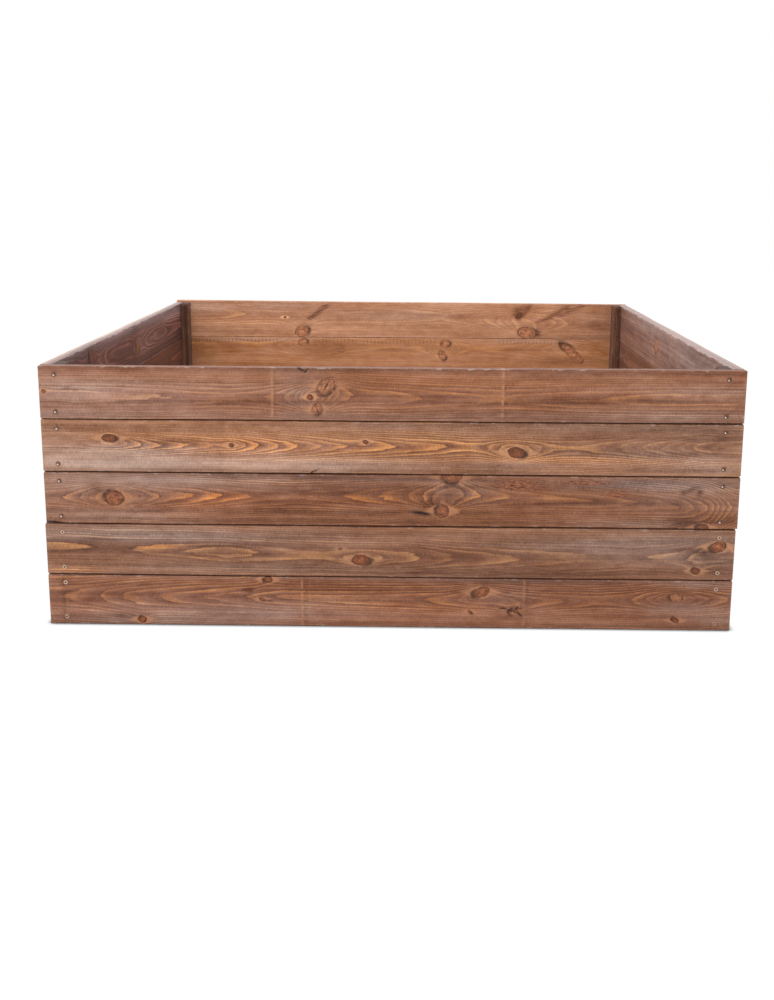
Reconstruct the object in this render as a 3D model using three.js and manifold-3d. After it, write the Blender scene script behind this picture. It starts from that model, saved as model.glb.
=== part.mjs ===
// Square timber planter box, open at the top and at the bottom.
//
// Four panels of five horizontal boards stand round the soil. The front and back boards run the full
// width and cover the ends of the side boards. Every board end is held by two countersunk wood screws
// to one of four battens, the corner posts, that stand inside the corners.
//
// Millimetres, +Z up. The origin is the centre of the footprint on the ground and the front faces -Y.
// Courses of boards are counted from 1 at the ground to 5 at the rim.

import * as THREE from 'three';
import { mergeVertices } from 'three/addons/utils/BufferGeometryUtils.js';
import Module from 'manifold-3d';

const wasm = await Module();
wasm.setup();

// ---------------------------------------------------------------- driving dimensions

const OVERALL_WIDTH = 1200;         // along X, over the ends of the front boards
const OVERALL_DEPTH = 1200;         // along Y, over the faces of the front and back boards
const COURSES = 5;

const BOARD_HEIGHT = 90;
const BOARD_THICKNESS = 18;
const BOARD_ARRIS = 2;              // radius of the eased long edges
const SEAM = 2.5;                   // open joint between two courses

const POST_WIDTH = 20;              // along X
const POST_DEPTH = 40;              // along Y
const POST_ARRIS = 1.5;

const LOWER_COURSES = 2;            // the courses that sit a little to the left of the others
const COURSE_STEP = 2.2;            // how far apart the ends of the lower and upper courses are

const SCREW_DIAMETER = 4;
const SCREW_LENGTH = 35;
const HEAD_DIAMETER = 8;
const RECESS_RADIUS = 1.7;
const RECESS_DEPTH = 1.4;
const SCREW_TIP = 5;                // length of the point
const SCREW_BELOW_TOP = 14;         // upper screw of a board end, from the board's top edge
const SCREW_ABOVE_BOTTOM = 12;      // lower screw, from the board's bottom edge
const SIDE_SCREW_STAGGER = 8;       // side screws sit this much nearer the board's middle
const HEAD_SUNK = 0.3;              // the head's face lies this far under the board's face

const JOINT_GAP = 0.3;              // between a piece and its neighbour
const CORNER_SEGMENTS = 2;          // facets in a quarter turn of an arris
const SCREW_SEGMENTS = 12;

// ---------------------------------------------------------------- worked out from them

const COURSE_PITCH = BOARD_HEIGHT + SEAM;
const TOTAL_HEIGHT = COURSES * BOARD_HEIGHT + (COURSES - 1) * SEAM;
const FULL_BOARD_LENGTH = OVERALL_WIDTH - COURSE_STEP;
const SIDE_BOARD_LENGTH = OVERALL_DEPTH - 2 * (BOARD_THICKNESS + JOINT_GAP);

const FRONT_FACE = OVERALL_DEPTH / 2;                       // from the centre to a front or back face
const SIDE_FACE = (OVERALL_WIDTH - COURSE_STEP) / 2;        // from the centre to a side face
const POST_CENTRE_X = SIDE_FACE - BOARD_THICKNESS - JOINT_GAP - POST_WIDTH / 2;
const POST_CENTRE_Y = FRONT_FACE - BOARD_THICKNESS - JOINT_GAP - POST_DEPTH / 2;

// The four panels. Each is built as the front one, with its boards along X and its outer face towards
// -Y, and is then turned about Z into its place.
const PANELS = [
  { name: 'front', turn: 0, face: FRONT_FACE, length: FULL_BOARD_LENGTH, steps: true },
  { name: 'right', turn: Math.PI / 2, face: SIDE_FACE, length: SIDE_BOARD_LENGTH, steps: false },
  { name: 'back', turn: Math.PI, face: FRONT_FACE, length: FULL_BOARD_LENGTH, steps: true },
  { name: 'left', turn: -Math.PI / 2, face: SIDE_FACE, length: SIDE_BOARD_LENGTH, steps: false },
];

// ---------------------------------------------------------------- materials

const BOARD_TONES = ['#926651', '#906956', '#906652', '#a97b62', '#9d6f59'];   // ground to rim
const POST_TONE = '#6b422f';

function stainedPine(tone) {
  return new THREE.MeshStandardMaterial({ color: tone, roughness: 0.62, metalness: 0 });
}

function yellowZinc() {
  return new THREE.MeshStandardMaterial({ color: '#b89b5e', roughness: 0.35, metalness: 0.9 });
}

// ---------------------------------------------------------------- solids

function toManifold(geometry) {
  const bare = geometry.clone();
  bare.deleteAttribute('normal');
  bare.deleteAttribute('uv');
  const merged = mergeVertices(bare, 1e-4);
  return new wasm.Manifold(new wasm.Mesh({
    numProp: 3,
    vertProperties: new Float32Array(merged.attributes.position.array),
    triVerts: new Uint32Array(merged.index.array),
  }));
}

function fromManifold(solid) {
  const mesh = solid.getMesh();
  const geometry = new THREE.BufferGeometry();
  geometry.setAttribute('position', new THREE.BufferAttribute(mesh.vertProperties, 3));
  geometry.setIndex(new THREE.BufferAttribute(mesh.triVerts, 1));
  geometry.computeVertexNormals();
  return geometry;
}

// A bar with eased long edges, width along X and height along Y, centred, extruded along +Z from 0.
function easedBar(width, height, radius, length) {
  const x = width / 2;
  const y = height / 2;
  const outline = new THREE.Shape();
  outline.absarc(x - radius, y - radius, radius, 0, Math.PI / 2);
  outline.absarc(-x + radius, y - radius, radius, Math.PI / 2, Math.PI);
  outline.absarc(-x + radius, -y + radius, radius, Math.PI, 1.5 * Math.PI);
  outline.absarc(x - radius, -y + radius, radius, 1.5 * Math.PI, 2 * Math.PI);
  return new THREE.ExtrudeGeometry(outline, {
    depth: length,
    bevelEnabled: false,
    curveSegments: CORNER_SEGMENTS,
  });
}

// A turned solid about Z from [radius, height] points that start and end on the axis, lowest first.
function turned(points) {
  const profile = points.map(([radius, height]) => new THREE.Vector2(radius, height));
  return new THREE.LatheGeometry(profile, SCREW_SEGMENTS).rotateX(Math.PI / 2);
}

// The screw points down: its head's face is at Z = 0 and its tip at -SCREW_LENGTH.
function screwGeometry() {
  const shank = SCREW_DIAMETER / 2;
  const head = HEAD_DIAMETER / 2;
  return turned([
    [0, -SCREW_LENGTH],
    [shank, -SCREW_LENGTH + SCREW_TIP],
    [shank, -(head - shank)],
    [head, 0],
    [RECESS_RADIUS, 0],
    [0, -RECESS_DEPTH],
  ]);
}

// What a screw's hole takes away: the screw with a gap round it, open above the head.
function screwHole() {
  const shank = SCREW_DIAMETER / 2 + JOINT_GAP;
  const head = HEAD_DIAMETER / 2 + JOINT_GAP;
  const above = 2;
  return turned([
    [0, -SCREW_LENGTH - 2 * JOINT_GAP],
    [shank, -SCREW_LENGTH + SCREW_TIP],
    [shank, -(head - shank) - JOINT_GAP],
    [head, -JOINT_GAP],
    [head, above],
    [0, above],
  ]);
}

// Takes the holes of these screws out of a piece. Both places are matrices in the box's frame.
function drilled(geometry, piecePlace, screws) {
  const toPiece = piecePlace.clone().invert();
  let solid = toManifold(geometry);
  for (const screw of screws) {
    const hole = screwHole().applyMatrix4(screw.place).applyMatrix4(toPiece);
    solid = solid.subtract(toManifold(hole));
  }
  return fromManifold(solid);
}

// ---------------------------------------------------------------- where the pieces go

function panelPlace(panel) {
  return new THREE.Matrix4().makeRotationZ(panel.turn);
}

function courseBottom(course) {
  return (course - 1) * COURSE_PITCH;
}

// The lower courses of the front and back panels sit to the left, the upper ones to the right.
function courseShift(panel, course) {
  if (!panel.steps) return 0;
  const toTheRight = course > LOWER_COURSES ? COURSE_STEP / 2 : -COURSE_STEP / 2;
  return toTheRight * Math.cos(panel.turn);
}

// Screws stand on the centre line of the post behind them.
function screwOffset(panel) {
  return panel.steps ? POST_CENTRE_X : POST_CENTRE_Y;
}

// The front panel has every screw. On the other panels only the rim course has them.
function hasScrews(panel, course) {
  return panel.name === 'front' || course === COURSES;
}

function cornerName(panel, end) {
  const turnedPlace = new THREE.Vector3(end, -1, 0).applyMatrix4(panelPlace(panel));
  return `${turnedPlace.y < 0 ? 'front' : 'back'}_${turnedPlace.x < 0 ? 'left' : 'right'}`;
}

function listScrews() {
  const screws = [];
  for (const panel of PANELS) {
    const stagger = panel.steps ? 0 : SIDE_SCREW_STAGGER;
    const heights = {
      lower: SCREW_ABOVE_BOTTOM + stagger,
      upper: BOARD_HEIGHT - SCREW_BELOW_TOP - stagger,
    };
    for (let course = 1; course <= COURSES; course++) {
      if (!hasScrews(panel, course)) continue;
      for (const end of [-1, 1]) {
        const corner = cornerName(panel, end);
        for (const [level, height] of Object.entries(heights)) {
          const place = new THREE.Matrix4()
            .makeTranslation(end * screwOffset(panel), -panel.face + HEAD_SUNK, courseBottom(course) + height)
            .multiply(new THREE.Matrix4().makeRotationX(Math.PI / 2))
            .premultiply(panelPlace(panel));
          const side = corner.split('_')[panel.steps ? 1 : 0];
          screws.push({
            name: `${panel.name}_screw_${course}_${side}_${level}`,
            panel: panel.name,
            course,
            corner,
            place,
          });
        }
      }
    }
  }
  return screws;
}

// ---------------------------------------------------------------- pieces

function placedMesh(name, geometry, material, place) {
  const mesh = new THREE.Mesh(geometry, material);
  mesh.name = name;
  place.decompose(mesh.position, mesh.quaternion, mesh.scale);
  return mesh;
}

// The bar is extruded along its own Z, which the board turns to lie along X.
function boardPlace(panel, course) {
  return new THREE.Matrix4()
    .makeTranslation(
      courseShift(panel, course) - panel.length / 2,
      -panel.face + BOARD_THICKNESS / 2,
      courseBottom(course) + BOARD_HEIGHT / 2,
    )
    .multiply(new THREE.Matrix4().makeBasis(
      new THREE.Vector3(0, 1, 0),
      new THREE.Vector3(0, 0, 1),
      new THREE.Vector3(1, 0, 0),
    ))
    .premultiply(panelPlace(panel));
}

function makeBoards(screws) {
  const boards = new THREE.Group();
  for (const panel of PANELS) {
    for (let course = 1; course <= COURSES; course++) {
      const place = boardPlace(panel, course);
      const bar = easedBar(BOARD_THICKNESS, BOARD_HEIGHT, BOARD_ARRIS, panel.length);
      const own = screws.filter((screw) => screw.panel === panel.name && screw.course === course);
      const material = stainedPine(BOARD_TONES[course - 1]);
      boards.add(placedMesh(`${panel.name}_board_${course}`, drilled(bar, place, own), material, place));
    }
  }
  return boards;
}

function makePosts(screws) {
  const posts = new THREE.Group();
  for (const front of [-1, 1]) {
    for (const right of [-1, 1]) {
      const corner = `${front < 0 ? 'front' : 'back'}_${right < 0 ? 'left' : 'right'}`;
      const place = new THREE.Matrix4().makeTranslation(right * POST_CENTRE_X, front * POST_CENTRE_Y, 0);
      const bar = easedBar(POST_WIDTH, POST_DEPTH, POST_ARRIS, TOTAL_HEIGHT);
      const own = screws.filter((screw) => screw.corner === corner);
      posts.add(placedMesh(`${corner}_post`, drilled(bar, place, own), stainedPine(POST_TONE), place));
    }
  }
  return posts;
}

function makeScrews(screws) {
  const fasteners = new THREE.Group();
  for (const screw of screws) {
    fasteners.add(placedMesh(screw.name, screwGeometry(), yellowZinc(), screw.place));
  }
  return fasteners;
}

const screws = listScrews();
const group = new THREE.Group();
group.add(makeBoards(screws), makePosts(screws), makeScrews(screws));

export default group;
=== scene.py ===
"""Looks of the square timber planter box: pine boards under a stain, dark corner posts and plated screws.

Every board, post and screw of the CAD frame is stood for by a finer mesh of the same size in the same
place. Lengths in a piece of timber are in millimetres: `s` runs with the grain from the planter's middle,
or from the post's own, `h` runs across the face from its middle and `e` runs inwards from the outer face.
"""

import math

import bpy
import numpy as np
from mathutils import Matrix, Vector


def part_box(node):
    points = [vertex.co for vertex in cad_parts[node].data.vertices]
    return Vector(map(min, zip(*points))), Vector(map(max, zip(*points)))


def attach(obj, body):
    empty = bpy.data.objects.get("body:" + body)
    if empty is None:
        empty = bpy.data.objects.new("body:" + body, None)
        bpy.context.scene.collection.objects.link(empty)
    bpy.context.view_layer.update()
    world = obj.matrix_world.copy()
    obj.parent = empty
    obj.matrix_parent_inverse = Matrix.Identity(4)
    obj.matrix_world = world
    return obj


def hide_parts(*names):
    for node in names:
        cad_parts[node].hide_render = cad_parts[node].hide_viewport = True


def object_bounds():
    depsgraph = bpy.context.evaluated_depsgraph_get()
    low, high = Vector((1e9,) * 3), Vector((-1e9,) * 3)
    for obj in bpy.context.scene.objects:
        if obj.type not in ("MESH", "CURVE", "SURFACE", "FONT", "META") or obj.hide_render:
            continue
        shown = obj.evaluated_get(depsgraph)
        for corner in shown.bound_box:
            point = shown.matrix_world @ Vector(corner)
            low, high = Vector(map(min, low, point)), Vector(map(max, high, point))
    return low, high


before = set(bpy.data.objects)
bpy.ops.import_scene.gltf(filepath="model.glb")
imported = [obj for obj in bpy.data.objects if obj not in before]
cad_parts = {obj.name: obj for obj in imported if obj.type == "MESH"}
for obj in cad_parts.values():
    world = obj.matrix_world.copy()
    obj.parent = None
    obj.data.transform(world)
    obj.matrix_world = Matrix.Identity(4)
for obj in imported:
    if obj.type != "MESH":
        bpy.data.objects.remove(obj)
cad_low, cad_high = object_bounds()

MM = 0.001
SEED = 20
COURSES = 5


def corners(node):
    """The lowest and the highest corner of a CAD node, in millimetres."""
    return [np.array(corner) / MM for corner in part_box(node)]


board_low, board_high = corners("front_board_1")
BOARD_HEIGHT = board_high[2] - board_low[2]
HALF_LENGTH = (cad_high[0] - cad_low[0]) / MM / 2


# ---- sums in a material's node tree

class Term:
    """A number in a node tree, so that shader sums are written as ordinary sums."""

    def __init__(self, socket):
        self.socket = socket
        self.tree = socket.id_data

    def math(self, operation, *others):
        node = self.tree.nodes.new("ShaderNodeMath")
        node.operation = operation
        for value, socket in zip((self, *others), node.inputs):
            plug(value, socket)
        return Term(node.outputs[0])

    def __add__(self, other):
        return self.math("ADD", other)

    def __sub__(self, other):
        return self.math("SUBTRACT", other)

    def __rsub__(self, other):
        return self * -1.0 + other

    def __mul__(self, other):
        return self.math("MULTIPLY", other)

    def __truediv__(self, other):
        return self.math("DIVIDE", other)

    def fract(self):
        return self.math("FRACT")

    def most(self, other):
        return self.math("MAXIMUM", other)

    def least(self, other):
        return self.math("MINIMUM", other)

    def share(self):
        """Held between 0 and 1."""
        return self.most(0.0).least(1.0)

    def step(self, low, high):
        """0 below low and 1 above high, with a smooth rise between them, or a fall if low is above high."""
        node = self.tree.nodes.new("ShaderNodeMapRange")
        node.interpolation_type = "SMOOTHSTEP"
        plug(self, node.inputs["Value"])
        node.inputs["From Min"].default_value = min(low, high)
        node.inputs["From Max"].default_value = max(low, high)
        node.inputs["To Min"].default_value = 0.0 if low < high else 1.0
        node.inputs["To Max"].default_value = 1.0 if low < high else 0.0
        return Term(node.outputs["Result"])


def plug(value, socket):
    """Feeds a socket with a Term, another socket, a colour or a plain number."""
    if isinstance(value, Term):
        value = value.socket
    if isinstance(value, bpy.types.NodeSocket):
        socket.id_data.links.new(value, socket)
    elif isinstance(value, tuple):
        socket.default_value = (*value, 1.0)
    else:
        socket.default_value = value


def vector(tree, *values):
    node = tree.nodes.new("ShaderNodeCombineXYZ")
    for value, socket in zip(values, node.inputs):
        plug(value, socket)
    return node.outputs[0]


def stored(tree, name):
    """The three numbers that the mesh keeps at each vertex under this name."""
    node = tree.nodes.new("ShaderNodeAttribute")
    node.attribute_name = name
    parts = tree.nodes.new("ShaderNodeSeparateXYZ")
    plug(node.outputs["Vector"], parts.inputs[0])
    return [Term(output) for output in parts.outputs]


def noise(tree, place, detail=2.0, roughness=0.5):
    """Noise from 0 to 1, about 0.5 on average, with features one unit apart."""
    node = tree.nodes.new("ShaderNodeTexNoise")
    node.inputs["Scale"].default_value = 1.0
    node.inputs["Detail"].default_value = detail
    node.inputs["Roughness"].default_value = roughness
    plug(place, node.inputs["Vector"])
    return Term(node.outputs[0])


def mix(tree, share, first, second, blend="MIX"):
    node = tree.nodes.new("ShaderNodeMix")
    node.data_type = "RGBA"
    node.blend_type = blend
    plug(share, node.inputs[0])
    plug(first, node.inputs[6])
    plug(second, node.inputs[7])
    return node.outputs[2]


def brighten(tree, colour, factor):
    """The colour times a Term: it pales a little where it brightens and reddens where it darkens."""
    paler = factor * (factor * 0.14 + 0.86)
    return mix(tree, 1.0, colour, vector(tree, factor, paler, paler), "MULTIPLY")


def times(colour, *factors):
    """A plain colour with each channel times its own factor."""
    return tuple(channel * factor for channel, factor in zip(colour, factors))


class Coats:
    """The colour of a surface while it is laid on coat by coat."""

    def __init__(self, tree, colour):
        self.tree = tree
        self.colour = colour

    def cover(self, share, colour):
        self.colour = mix(self.tree, share, self.colour, colour)

    def tint(self, share, colour):
        self.colour = mix(self.tree, share, self.colour, colour, "MULTIPLY")


def new_material(name):
    material = bpy.data.materials.new(name)
    material.use_nodes = True
    tree = material.node_tree
    return material, tree, tree.nodes["Principled BSDF"]


def add_bump(tree, surface, height, strength, distance):
    bump = tree.nodes.new("ShaderNodeBump")
    bump.inputs["Strength"].default_value = strength
    bump.inputs["Distance"].default_value = distance * MM
    plug(height, bump.inputs["Height"])
    plug(bump.outputs[0], surface.inputs["Normal"])


# ---- timber: what each board is like

# A board is described by its growth:
#   tone     the colour of its stain, and outer is that of the outer face where it differs; on the back and
#            side boards the tone also holds painted light and shade
#   figure   the strength of its streaks and blotches, and contrast is that of its growth rings
#   ring     the width of a growth ring
#   heart    how far above the board's middle the heart of the log lies, at even places from end to end
#   first    how many rings behind the face the heart lies at the first tip
#   tips     where growth rings come to a point: ">" points to +s and "<" to -s
#   seen     the face that is described
# by its flaws, each with half its length and half its height:
#   knots    (s, h, length, height, tilt in degrees, kind, dark side in degrees). A live knot has grown
#            together with the wood, a dead one has a dark rim, a deep one is darker still, a split one has
#            a crack, a pin is small, a pale one is hardly darker than the wood and a smudge is only a stain.
#            A painted shadow lies in a crescent on the dark side, which is to the lower right if left out
#   cracks   (s, h, length, height, tilt)
#   torn     (s, h, length, height) of grain that the planer has torn
#   marks    (s, width, strength) of the lines left by stacking sticks
#   ticks    (from, to) of the rows of marks left by feed rollers
#   each kind of soft patch: (s, h, length, height, strength, tilt). Grey and warm change the hue,
#            dark and light the brightness, and plain hides the growth rings. Grey is partly grey stain and
#            partly painted sheen
# and by its shape:
#   swell    the share that is added to its height
#   lift     how far the upper edge rises towards -s
#   wane     how far the inner upper arris is broken away, and the key after it how pale that edge and the upper
#            face are painted: painted sheen on the upper face, and pale fresh wood with painted sheen on the
#                broken arris
#   rim      how dark the upper edge is

PATCH_KINDS = ("grey_and_sheen", "warm", "dark", "light", "plain")
# What holds for a board that doesn't say otherwise.
COMMON = dict(figure=1.0, outer=None, seen="outer", swell=0.0, lift=0.0, wane=0.0, pale_wood_and_sheen=0.0, rim=0.0,
              cracks=[], torn=[], marks=[], ticks=[], **{kind: [] for kind in PATCH_KINDS})


def plume(s, h, rise, count):
    """Dark patches in a rising row of short barbs, where the fibres of a branch reach the face."""
    return [(s + 6 * number, h + rise * number, 7, 1.5, 1.5, -28) for number in range(count)]


FRONT = {
    5: dict(
        tone=(0.292, 0.119, 0.064), contrast=0.7, figure=0.9, ring=3.0, heart=(-7, -6, -5), first=10,
        rim=0.55,
        tips="<-700 >-367 <-180 >-88 <-73 >71 <304",
        knots=[(-108, 14, 20, 12, 36, "split", -50), (-136, -5, 5, 5, 0, "dead"),
               (-124, -25, 9, 11, -25, "split", -60), (-590, 2, 4, 3.4, 0, "pin")],
        cracks=[(-150, 42, 7, 1.4, -25), (-142, 40, 4, 1.2, 50)],
        marks=[(-200, 2.2, 0.9), (191, 2.2, 1.0)],
        grey_and_sheen=[(-390, 12, 190, 20, 0.35), (-420, -16, 130, 14, 0.5), (0, -38, 560, 8, 0.4),
              (-520, 8, 130, 16, 0.5), (-600, -10, 90, 50, 0.4), (-150, 5, 40, 45, 0.55),
              (-560, -38, 200, 10, 0.45), (540, 8, 130, 14, 0.55), (540, -36, 120, 12, 0.4),
              (440, -30, 160, 14, 0.4)],
        warm=[(120, 20, 260, 30, 0.45)],
        dark=[(471, 0, 6, 3, 0.5, 10), (509, 0, 5, 3, 0.6), (529, 2, 5, 3, 0.6), (0, 44, 900, 2.5, 0.6),
              (200, -36, 420, 10, 0.45), (-549, 9, 7, 3, 0.7, 25), (-534, 4, 6, 2, 0.8, -30),
              (-458, 10, 6, 3, 0.5), (-250, -14, 160, 18, 0.3), (120, -12, 120, 14, 0.35),
              (540, 38, 240, 6, 0.3), (10, 40, 600, 5, 0.2)],
        light=[(-390, 4, 190, 26, 0.6), (450, 14, 180, 16, 0.85), (-420, -16, 130, 14, 0.5)],
        plain=[(300, 26, 340, 16, 0.6), (-420, 24, 160, 14, 0.5)],
    ),
    4: dict(
        tone=(0.3, 0.13, 0.07), contrast=1.2, ring=1.9, heart=(3, 2, 6), first=8,
        tips=">-447 >-403 >-346 >-305 >-250 >-224 >-190 >-156 >-112 >-71 >13 >92 >135 <329 <387 <424 "
             "<461 <491 <516 <541",
        knots=[(-481, 14, 13, 7, 0, "deep", -30), (-272, 3, 4.5, 4, 0, "deep"),
               (-42, 11, 5, 3.6, -10, "dead"), (217, -6, 15, 9.5, -8, "deep", -20)],
        cracks=[(-130, -42, 10, 0.8, 25)],
        marks=[(-60, 5, 0.2), (-290, 6, -0.4)],
        grey_and_sheen=[(440, -14, 130, 18, 0.6), (-420, -6, 90, 12, 0.5), (-380, -32, 240, 15, 0.95),
              (-60, -34, 150, 12, 0.6), (-590, 0, 60, 40, 0.35), (-300, -10, 200, 18, 0.3),
              (560, 30, 160, 30, 0.2), (30, 38, 200, 8, 0.4), (210, -32, 90, 12, 0.5),
              (400, 38, 180, 8, 0.5), (-490, -8, 110, 12, 0.5), (-500, -32, 120, 12, 0.4),
              (545, -28, 70, 16, 0.6)],
        warm=[(-240, 3, 190, 17, 0.85), (60, 2, 130, 14, 0.7), (360, -18, 180, 7, 0.8)],
        dark=[(560, 34, 70, 20, 0.45), (560, 14, 60, 22, 0.3), (480, 24, 120, 20, 0.25),
              (330, 20, 120, 20, 0.2)],
        light=[(-340, -4, 190, 34, 0.75), (-330, 2, 110, 16, 0.5), (-250, -28, 130, 16, 0.8)],
        plain=[(-480, -32, 300, 14, 0.8), (420, 20, 200, 20, 0.45), (-560, 0, 60, 40, 0.6)],
    ),
    3: dict(
        tone=(0.232, 0.09, 0.046), contrast=1.15, ring=2.3, heart=(2, 7, 9, -9), first=14,
        tips=">-345 >-300 >-240 <-86 <-10 >350 >425 >505 >515 >548 >557 >566 >575 >584 >593",
        knots=[(-477, 0, 17, 13.5, 0, "live", 145), (107, 47, 18, 15, 0, "live", -110),
               (91, -18, 11.5, 12, 0, "live", 170), (539, -44, 11, 8, 0, "deep", 160)],
        cracks=[(55, -22, 17, 2.4, -8), (-590, -43, 20, 1.5, -4)],
        torn=[(222, 28, 30, 9), (390, 15, 21, 6), (335, 35, 40, 3.5)],
        grey_and_sheen=[(-380, 30, 240, 18, 0.75), (-560, 5, 60, 40, 0.3), (-440, -12, 60, 26, 0.4),
              (500, 34, 140, 14, 0.9), (130, 15, 60, 20, 0.5), (440, -38, 90, 8, 0.7),
              (-60, 38, 260, 8, 0.5), (490, 14, 110, 30, 0.45), (380, 32, 90, 10, 0.5),
              (-480, -32, 150, 12, 0.6), (-450, 38, 180, 10, 0.5)],
        warm=[(-300, 3, 75, 12, 1.0), (-50, 0, 110, 12, 0.8), (160, 5, 90, 12, 0.5)],
        dark=[(-505, 12, 16, 18, 0.8), (-120, -10, 180, 30, 0.35), (60, -40, 400, 9, 0.3),
              (70, -8, 14, 12, 0.9), (20, 40, 300, 7, 0.55), (510, -38, 26, 14, 0.9),
              (400, -38, 280, 8, 0.3), (-280, 38, 40, 5, 0.4), (519, 25, 13, 4, 1.3, 18),
              (532, 20, 5, 7, 1.0, -30), (505, 18, 5, 7, 0.9, 30)],
        light=[(-300, 3, 80, 8, 0.5), (260, 38, 120, 5, 1.0), (480, 30, 70, 12, 0.6),
               (-320, -4, 170, 28, 1.0), (-450, -20, 130, 14, 0.7), (-420, -22, 120, 12, 0.8)],
    ),
    2: dict(
        tone=(0.247, 0.107, 0.059), contrast=1.0, ring=3.4, heart=(6, -6, -10, -4), first=8,
        tips=">-493 <-480 <-352 >-214 >-120 <0 >60 >111 >221 >400 <437",
        knots=[(-49, -15, 16.5, 9.5, 0, "dead", -25), (-86, 5, 4, 2.6, 20, "pin"),
               (569, 15, 14, 9.5, 16, "live", 205), (533, -29, 7.5, 6.5, 0, "deep", 150)],
        grey_and_sheen=[(-300, 22, 300, 14, 0.55), (-470, 28, 220, 18, 0.75), (-250, -32, 240, 10, 0.55),
              (520, 28, 130, 14, 0.5), (390, 14, 170, 16, 0.8), (590, -10, 60, 30, 0.3),
              (500, -8, 100, 14, 0.5)],
        warm=[(20, 26, 140, 18, 0.5), (-490, 10, 80, 5, 1.0), (-560, -37, 60, 4, 1.3),
              (-400, 5, 50, 4, 0.9), (590, 12, 20, 10, 0.8)],
        dark=[(-400, -8, 110, 10, 0.25), (-500, -1, 120, 8, 0.5), (-230, -2, 90, 12, 0.35),
              (545, 4, 26, 12, 0.7), (60, -36, 260, 10, 0.35), (20, 28, 130, 16, 0.3),
              (250, -22, 150, 9, 0.45), (300, -38, 300, 8, 0.35), (250, 8, 220, 6, 0.3)],
        light=[(-360, 30, 260, 16, 0.5), (110, -6, 110, 12, 0.6), (-560, -37, 60, 4, 0.6),
               (-245, 0, 50, 14, 0.8)],
        plain=[(150, 30, 400, 12, 0.6), (-440, -30, 160, 12, 0.5)],
    ),
    1: dict(
        tone=(0.252, 0.1, 0.055), contrast=1.1, figure=0.85, ring=3.1, heart=(6, 7, 4, 12), first=14,
        tips="<-579 <-512 <-468 <-418 <-335 <-238 <-190 <100 >300 <427 <452 >556 >590",
        knots=[(-436, -36, 7, 6.5, 0, "dead", 140), (-213, 40, 8, 6, 0, "deep", 200),
               (-224, 4, 5, 3, -20, "pin"), (161, 21, 15, 9, 22, "live", 190), (142, -16, 5, 3, -35, "pin"),
               (219, -15, 9, 7, 0, "split", 200), (501, 14, 12, 7, 0, "pale", 180),
               (502, -27, 7, 5, -30, "dead", 150)],
        cracks=[(229, -19, 6, 1.4, -45), (212, -11, 5, 1.3, 30), (218, -14, 8, 1.2, -15),
                (199, -9, 6, 1.0, -5), (224, -8, 4, 1.2, 60)],
        marks=[(-153, 2.0, 1.0), (236, 2.4, 0.6), (-574, 2.5, -0.7), (-144, 2.0, -0.5)],
        grey_and_sheen=[(-60, -22, 700, 15, 0.2), (-60, 44, 600, 6, 0.4), (-380, -20, 200, 20, 0.35),
              (-230, -18, 130, 22, 0.5), (200, 20, 60, 26, 0.4), (590, -25, 60, 20, 0.5),
              (500, -6, 60, 12, 0.5), (-440, -38, 180, 10, 0.7), (545, 38, 70, 10, 0.7)],
        warm=[(0, 26, 760, 15, 0.4), (60, 0, 200, 24, 0.2)],
        dark=[(-248, 20, 8, 5, 1.3), (-218, 1, 12, 2, 1.2), (246, 16, 60, 14, 0.35), (541, 14, 60, 20, 0.3),
              (0, 27, 760, 15, 0.3), (-460, -30, 30, 12, 0.6), (-90, 34, 200, 10, 0.3),
              (360, 32, 130, 10, 0.3), (220, -18, 30, 12, 0.5), (220, -13, 14, 5, 1.6),
              (-570, 8, 8, 45, 0.4), (0, -44, 600, 5, 0.35)],
        light=[(-60, -20, 700, 17, 1.9)],
        plain=[(0, -24, 820, 17, 0.75)],
    ),
}

# The back and side boards are described by their inner faces, which show the more. Their tones hold
# painted light and shade besides their stain: the back boards are lighter, as painted light, and the inner
# faces of the side boards darker than their outer faces, as painted shade, the left ones most.
BACK = {
    5: dict(
        tone=(0.44, 0.213, 0.12), contrast=0.35, figure=0.7, ring=2.6, heart=(14, 12, -6), first=15,
        seen="inner", lift=5.0,
        tips=">-500 >-420 >-330 <-160 >40 <200 <260 >420 >470",
        knots=[(-263, -30, 19, 14, 10, "pale", 0), (-309, 5, 4, 3, 20, "pin"),
               (339, -30, 26, 15, -6, "pale", 5), (316, 14, 10, 6, 40, "smudge")],
        grey_and_sheen=[(-330, 34, 70, 12, 0.45), (-560, 30, 120, 12, 0.5), (0, 10, 180, 14, 0.35)],
        warm=[(360, 16, 120, 30, 0.6), (-420, -6, 120, 12, 0.7)],
        dark=[*plume(-243, 2, 4.4, 9), (-216, 21, 36, 5, 0.7, 34), *plume(424, 12, 3.0, 11),
              (335, 26, 28, 5, 1.2, 50), (312, 20, 12, 12, 1.0), (412, 20, 42, 6, 0.9, 28),
              (390, 6, 40, 3, 0.7, 18), (440, 36, 14, 6, 0.8, -30), (372, -30, 8, 14, 0.7),
              (330, 30, 40, 14, 0.6), (540, 0, 80, 50, 0.3), (560, -20, 60, 20, 0.3)],
    ),
    4: dict(
        tone=(0.415, 0.185, 0.088), contrast=0.3, figure=0.55, ring=3.2, heart=(24, 20, 10), first=14,
        seen="inner", ticks=[(-560, -325), (-228, 98), (266, 430)],
        tips=">-460 <-300 >-180 >0 <230 >520",
        knots=[(-261, 33, 13, 10, 0, "pale", 20), (120, 31, 14, 10, 0, "pale", -10),
               (113, 0, 10, 14, 35, "pale", -60), (461, 8, 38, 12, -40, "pale", 130)],
        cracks=[(-160, 6, 10, 1, 0)],
        grey_and_sheen=[(-420, 38, 200, 5, 0.5), (320, 38, 140, 5, 0.6)],
        warm=[(-380, 30, 160, 8, 0.6)],
        dark=[(-200, 10, 60, 30, 0.3), (430, -10, 50, 14, 0.4), (-560, 0, 50, 50, 0.5)],
    ),
}

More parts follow.
